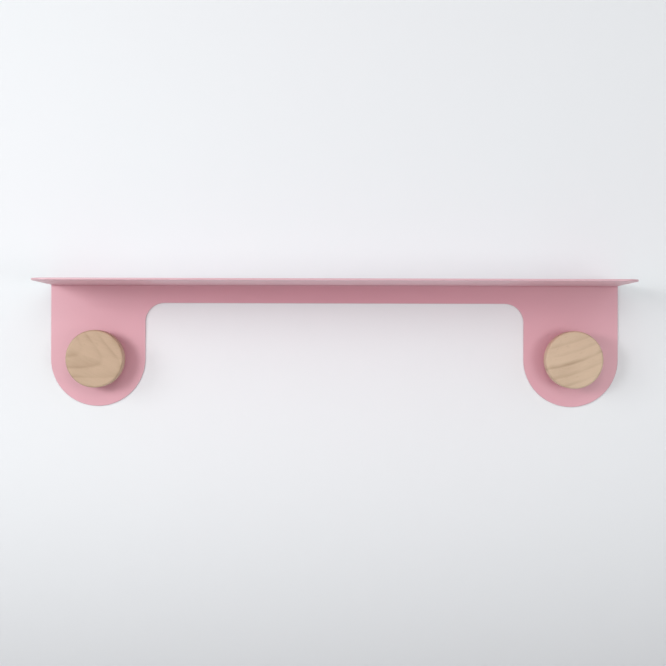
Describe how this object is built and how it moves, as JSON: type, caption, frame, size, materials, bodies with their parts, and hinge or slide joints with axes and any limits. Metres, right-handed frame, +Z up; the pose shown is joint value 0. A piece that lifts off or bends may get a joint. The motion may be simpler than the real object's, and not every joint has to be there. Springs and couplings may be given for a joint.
{
  "type": "wall shelf",
  "caption": "Slim folded steel wall shelf with round-bottomed end lobes, each carrying a turned wooden coat peg that covers its wall screw.",
  "frame": {"origin": "on the wall, midway between the two wall screws, which lie on the line through the two pegs' centres", "axes": "+X along the shelf, +Z up, +Y into the wall, so the shelf and pegs stand out towards -Y"},
  "size_m": [0.6, 0.192, 0.13],
  "materials": {
    "pink_powder_coat": "matt fine-texture powder coat on steel sheet",
    "oak_left": "oak, turned, sanded and oiled matt",
    "oak_right": "oak, turned, sanded and oiled matt",
    "insert_brass": "machined",
    "ring_rubber": "die-cut sheet rubber",
    "zinc_steel": "zinc plated",
    "plug_nylon": "moulded nylon"
  },
  "bodies": {
    "panel": {"shelf_panel": "pink_powder_coat", "left_wall_stud": "zinc_steel", "left_wall_plug": "plug_nylon", "left_washer": "zinc_steel", "left_hex_nut": "zinc_steel", "right_wall_stud": "zinc_steel", "right_wall_plug": "plug_nylon", "right_washer": "zinc_steel", "right_hex_nut": "zinc_steel"},
    "left_ring": {"left_rubber_ring": "ring_rubber"},
    "left_peg": {"left_peg": "oak_left", "left_thread_insert": "insert_brass"},
    "right_ring": {"right_rubber_ring": "ring_rubber"},
    "right_peg": {"right_peg": "oak_right", "right_thread_insert": "insert_brass"}
  },
  "joints": [
    {"name": "left_peg_travel", "type": "slide", "parent": "panel", "child": "left_ring", "axis": [0, -1, 0], "range_m": [0, 0.01235]},
    {"name": "left_peg_turn", "type": "hinge", "parent": "left_ring", "child": "left_peg", "pos_m": [-0.25, 0, 0], "axis": [0, -1, 0], "range_deg": [0, 4410]},
    {"name": "right_peg_travel", "type": "slide", "parent": "panel", "child": "right_ring", "axis": [0, -1, 0], "range_m": [0, 0.01235]},
    {"name": "right_peg_turn", "type": "hinge", "parent": "right_ring", "child": "right_peg", "pos_m": [0.25, 0, 0], "axis": [0, -1, 0], "range_deg": [0, 4410]}
  ],
  "couplings": [
    {"joint": "left_peg_travel", "follows": "left_peg_turn", "m_per_rad": 0.00015915},
    {"joint": "right_peg_travel", "follows": "right_peg_turn", "m_per_rad": 0.00015915}
  ]
}
